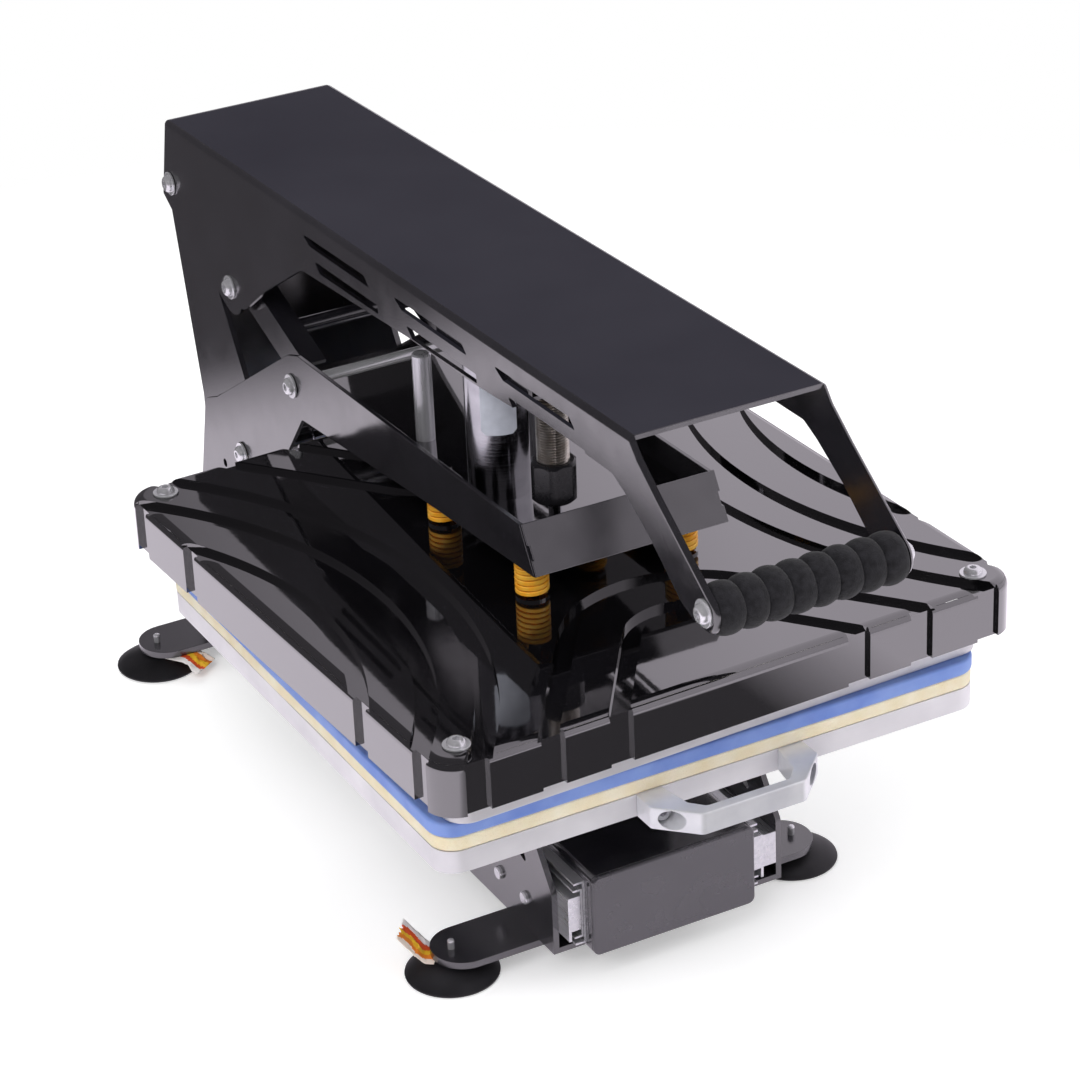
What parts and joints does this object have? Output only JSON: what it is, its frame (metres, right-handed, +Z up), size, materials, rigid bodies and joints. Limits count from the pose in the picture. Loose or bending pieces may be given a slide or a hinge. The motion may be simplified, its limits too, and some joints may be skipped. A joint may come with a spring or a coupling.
{
  "type": "clothing heat press",
  "caption": "Clamshell heat press with a folded lever, sprung heating head, pull-out lower plate on drawer slides, gas struts and suction-cup feet.",
  "frame": {"origin": "centre of the whole press at the surface it stands on", "axes": "+Z up, -Y towards the operator, +X to the operator's right"},
  "size_m": [0.4246, 0.7779, 0.4225],
  "materials": {
    "black_paint": "satin",
    "gloss_black": "gloss",
    "black_rubber": "matte",
    "bright_screws": "bright",
    "bright_steel": "bright",
    "zinc_rail": "satin",
    "tag_orange": "matte",
    "magnet_steel": "satin",
    "thread_zinc": "bright",
    "foam_black": "matte",
    "platen_aluminium": "satin",
    "cast_aluminium": "satin",
    "element_steel": "satin",
    "blanket_white": "matte",
    "spring_yellow": "gloss",
    "foam_cream": "matte",
    "silicone_blue": "matte",
    "panel_dark": "satin",
    "board_green": "satin",
    "plastic_black": "satin",
    "bronze": "satin"
  },
  "bodies": {
    "base": {"base_side_plates": "black_paint", "foot_bars": "black_paint", "suction_cups": "black_rubber", "foot_bolts": "bright_screws", "foot_tags": "tag_orange", "bar_screws": "bright_screws", "rear_base_pan": "black_paint", "pillar_plates": "black_paint", "pillar_bolts": "bright_screws", "arm_pivot_shaft": "bright_steel", "lever_pivot_bolts": "bright_screws", "strut_lower_pin": "bright_steel", "slide_inner_rails": "zinc_rail", "slide_screws": "bright_screws"},
    "arm": {"arm_side_plates": "black_paint", "arm_bushes": "bronze", "arm_web": "gloss_black", "arm_front_plate": "black_paint", "link_shaft": "bright_steel", "stop_posts": "bright_steel", "magnet_armature": "magnet_steel"},
    "lever": {"lever_channel": "black_paint", "grip_tube": "zinc_rail", "foam_grip": "foam_black", "grip_bolts": "bright_screws", "magnet_bracket": "black_paint", "holding_magnet": "magnet_steel", "damper_body": "thread_zinc", "damper_nut": "plastic_black", "link_pins": "bright_screws"},
    "damper_plunger": {"damper_rod": "bright_steel"},
    "links": {"link_frame": "black_paint", "link_bushes": "bronze"},
    "head": {"heat_cover": "gloss_black", "cover_screws": "bright_screws", "corner_posts": "zinc_rail", "hot_platen": "platen_aluminium", "heating_element": "element_steel", "insulation_blanket": "blanket_white", "thermostat_probe": "element_steel", "hanger_studs": "zinc_rail", "hanger_springs": "spring_yellow", "cable_gland": "plastic_black"},
    "drawer": {"lower_plate": "platen_aluminium", "foam_pad": "foam_cream", "silicone_pad": "silicone_blue", "pull_handle": "cast_aluminium", "handle_screws": "bright_screws", "carriage_bracket": "black_paint", "control_box": "black_paint", "box_front_panel": "panel_dark", "box_rear_panel": "panel_dark", "control_board": "board_green", "power_supply": "plastic_black", "power_inlet": "plastic_black", "slide_outer_rails": "zinc_rail"},
    "rocker": {"rocker_switch": "plastic_black"},
    "slide_middle": {"slide_middle_rails": "zinc_rail"},
    "strut_tubes": {"strut_cylinders": "gloss_black"},
    "strut_plungers": {"strut_rods": "bright_steel"}
  },
  "joints": [
    {"name": "arm_hinge", "type": "hinge", "parent": "base", "child": "arm", "pos_m": [0, 0.272, 0.1795], "axis": [-1, 0, 0], "range_deg": [0, 40]},
    {"name": "lever_hinge", "type": "hinge", "parent": "base", "child": "lever", "pos_m": [0, 0.37, 0.3545], "axis": [-1, 0, 0], "range_deg": [0, 62.01]},
    {"name": "link_hinge", "type": "hinge", "parent": "arm", "child": "links", "pos_m": [0, 0.174, 0.2715], "axis": [1, 0, 0], "range_deg": [0, 94.9]},
    {"name": "head_float", "type": "slide", "parent": "arm", "child": "head", "axis": [0, 0, 1], "range_m": [0, 0.003], "stiffness_N_per_m": 60000, "springref_m": -0.004, "deforming": ["hanger_springs"]},
    {"name": "damper_travel", "type": "slide", "parent": "lever", "child": "damper_plunger", "axis": [0, 0, 1], "range_m": [0, 0.006], "stiffness_N_per_m": 400, "springref_m": -0.004},
    {"name": "drawer_slide", "type": "slide", "parent": "base", "child": "drawer", "axis": [0, -1, 0], "range_m": [0, 0.25]},
    {"name": "middle_slide", "type": "slide", "parent": "base", "child": "slide_middle", "axis": [0, -1, 0], "range_m": [0, 0.125]},
    {"name": "strut_swing", "type": "hinge", "parent": "base", "child": "strut_tubes", "pos_m": [0, 0.254, 0.04], "axis": [-1, 0, 0], "range_deg": [0, 13.3]},
    {"name": "strut_extend", "type": "slide", "parent": "strut_tubes", "child": "strut_plungers", "axis": [0, -0.2826, 0.9592], "range_m": [0, 0.0293]},
    {"name": "rocker_tilt", "type": "hinge", "parent": "drawer", "child": "rocker", "pos_m": [-0.025, 0.03, 0.053], "axis": [1, 0, 0], "range_deg": [0, 12]}
  ],
  "couplings": [
    {"joint": "lever_hinge", "follows": "arm_hinge", "ratio": 1.55},
    {"joint": "link_hinge", "follows": "arm_hinge", "ratio": 2.3715},
    {"joint": "middle_slide", "follows": "drawer_slide", "ratio": 0.5},
    {"joint": "strut_swing", "follows": "arm_hinge", "ratio": 0.331},
    {"joint": "strut_extend", "follows": "arm_hinge", "m_per_rad": 0.041783}
  ]
}
